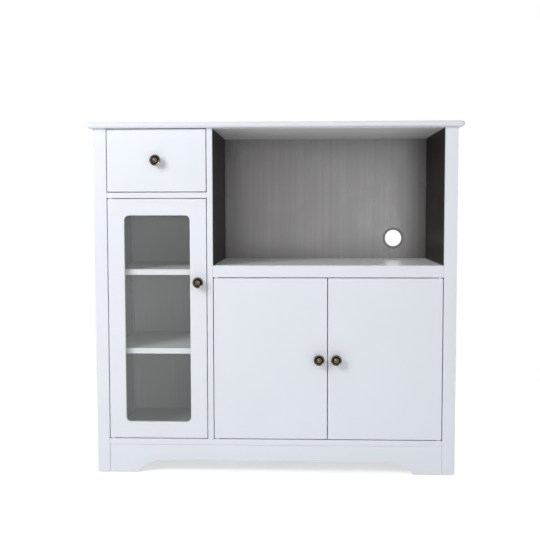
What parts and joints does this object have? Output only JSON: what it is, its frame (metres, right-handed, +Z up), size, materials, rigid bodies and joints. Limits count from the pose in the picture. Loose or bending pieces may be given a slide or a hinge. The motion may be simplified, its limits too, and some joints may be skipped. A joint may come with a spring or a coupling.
{
  "type": "microwave cabinet",
  "caption": "White free-standing kitchen cabinet with an open microwave bay, a drawer, a glazed display cupboard with shelves, and a lower cupboard with a pair of doors.",
  "frame": {"origin": "on the floor, in the middle of the overall box", "axes": "+X to the right along the front, +Y to the back, +Z up"},
  "size_m": [1, 0.4008, 0.95],
  "materials": {
    "white_paint": "satin white lacquer on fibreboard",
    "grey_melamine": "matt grey melamine",
    "hardboard": "smooth brown hardboard",
    "brushed_steel": "brushed stainless sheet",
    "grey_plastic": "fine-grained grey plastic",
    "white_nylon": "natural nylon",
    "zinc_plated_steel": "bright zinc plate",
    "beech": "plain turned beech",
    "clear_glass": "clear float glass",
    "aged_bronze": "antique bronze with a rubbed rim"
  },
  "bodies": {
    "case": {"top_board": "white_paint", "left_front_leg": "white_paint", "right_front_leg": "white_paint", "left_rear_leg": "white_paint", "right_rear_leg": "white_paint", "left_side_panel": "white_paint", "right_side_panel": "white_paint", "partition": "white_paint", "bottom_panel": "white_paint", "front_apron": "white_paint", "rear_rail": "white_paint", "drawer_shelf": "white_paint", "bay_shelf": "white_paint", "bay_front_rail": "white_paint", "back_panel_left": "hardboard", "back_panel_lower": "hardboard", "back_panel_bay": "hardboard", "cable_grommet": "grey_plastic", "bay_liner_sides": "brushed_steel", "bay_liner_top": "brushed_steel", "bay_liner_floor": "brushed_steel", "bay_liner_back": "brushed_steel", "upper_shelf": "grey_melamine", "middle_shelf": "grey_melamine", "cupboard_shelf": "grey_melamine", "shelf_pins": "zinc_plated_steel", "foot_glides": "white_nylon", "cam_locks": "zinc_plated_steel", "cam_bolts": "zinc_plated_steel", "dowels": "beech", "partition_screws": "zinc_plated_steel", "back_nails": "zinc_plated_steel", "pivot_bushes": "white_nylon", "magnetic_catches": "white_nylon", "case_runners": "zinc_plated_steel", "runner_screws": "zinc_plated_steel"},
    "drawer": {"drawer_front": "white_paint", "drawer_left_side": "grey_melamine", "drawer_right_side": "grey_melamine", "drawer_back": "grey_melamine", "drawer_bottom": "grey_melamine", "drawer_runners": "zinc_plated_steel", "drawer_screws": "zinc_plated_steel", "drawer_cams": "zinc_plated_steel", "drawer_knob": "aged_bronze"},
    "front_rollers": {"front_rollers": "white_nylon"},
    "rear_rollers": {"rear_rollers": "white_nylon"},
    "display_door": {"display_door_frame": "white_paint", "door_glass": "clear_glass", "glass_clips": "white_nylon", "clip_screws": "zinc_plated_steel", "display_door_hardware": "zinc_plated_steel", "display_door_knob": "aged_bronze"},
    "left_door": {"left_door_panel": "white_paint", "left_door_hardware": "zinc_plated_steel", "left_door_knob": "aged_bronze"},
    "right_door": {"right_door_panel": "white_paint", "right_door_hardware": "zinc_plated_steel", "right_door_knob": "aged_bronze"}
  },
  "joints": [
    {"name": "drawer_slide", "type": "slide", "parent": "case", "child": "drawer", "axis": [0, -1, 0], "range_m": [0, 0.26]},
    {"name": "front_roller_spin", "type": "hinge", "parent": "case", "child": "front_rollers", "pos_m": [-0.316, -0.1494, 0.7832], "axis": [1, 0, 0], "range_deg": [0, 2130]},
    {"name": "rear_roller_spin", "type": "hinge", "parent": "drawer", "child": "rear_rollers", "pos_m": [-0.316, 0.1516, 0.7823], "axis": [1, 0, 0], "range_deg": [0, 2130]},
    {"name": "display_door_hinge", "type": "hinge", "parent": "case", "child": "display_door", "pos_m": [-0.441, -0.1689, 0.422], "axis": [0, 0, -1], "range_deg": [0, 110]},
    {"name": "left_door_hinge", "type": "hinge", "parent": "case", "child": "left_door", "pos_m": [-0.156, -0.1689, 0.3155], "axis": [0, 0, -1], "range_deg": [0, 110]},
    {"name": "right_door_hinge", "type": "hinge", "parent": "case", "child": "right_door", "pos_m": [0.441, -0.1689, 0.3155], "axis": [0, 0, 1], "range_deg": [0, 110]}
  ],
  "couplings": [
    {"joint": "front_roller_spin", "follows": "drawer_slide", "rad_per_m": 142.86},
    {"joint": "rear_roller_spin", "follows": "drawer_slide", "rad_per_m": 142.86}
  ]
}
